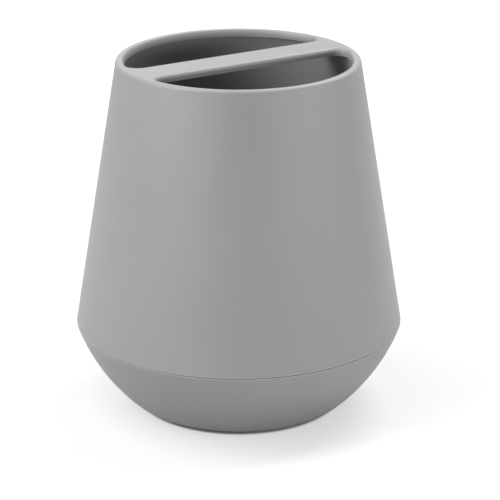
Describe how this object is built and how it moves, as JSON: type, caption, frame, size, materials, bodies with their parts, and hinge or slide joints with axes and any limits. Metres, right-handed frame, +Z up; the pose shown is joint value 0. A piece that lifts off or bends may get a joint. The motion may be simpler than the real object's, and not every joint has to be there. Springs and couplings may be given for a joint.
{
  "type": "toothbrush holder",
  "caption": "Tapered cup with a flat bar across the mouth that leaves D-shaped openings, on a rounded base bowl that pulls off for cleaning; stands toothbrushes and a paste tube upright.",
  "frame": {"origin": "middle of the foot, on the surface that the holder stands on", "axes": "+Z up through the middle of the cup, +X along the bar across the mouth"},
  "size_m": [0.0999, 0.1, 0.1084],
  "materials": {
    "shell_plastic": "satin moulded, very fine grain",
    "bowl_plastic": "satin moulded, very fine grain",
    "seal_silicone": "soft silicone, matt",
    "foot_rubber": "soft non-slip rubber, matt"
  },
  "bodies": {
    "base": {"base_bowl": "bowl_plastic", "seal_ring": "seal_silicone", "foot_ring": "foot_rubber"},
    "shell": {"upper_shell": "shell_plastic"}
  },
  "joints": [
    {"name": "shell_lift", "type": "slide", "parent": "base", "child": "shell", "axis": [0, 0, 1], "range_m": [0, 0.03]}
  ]
}
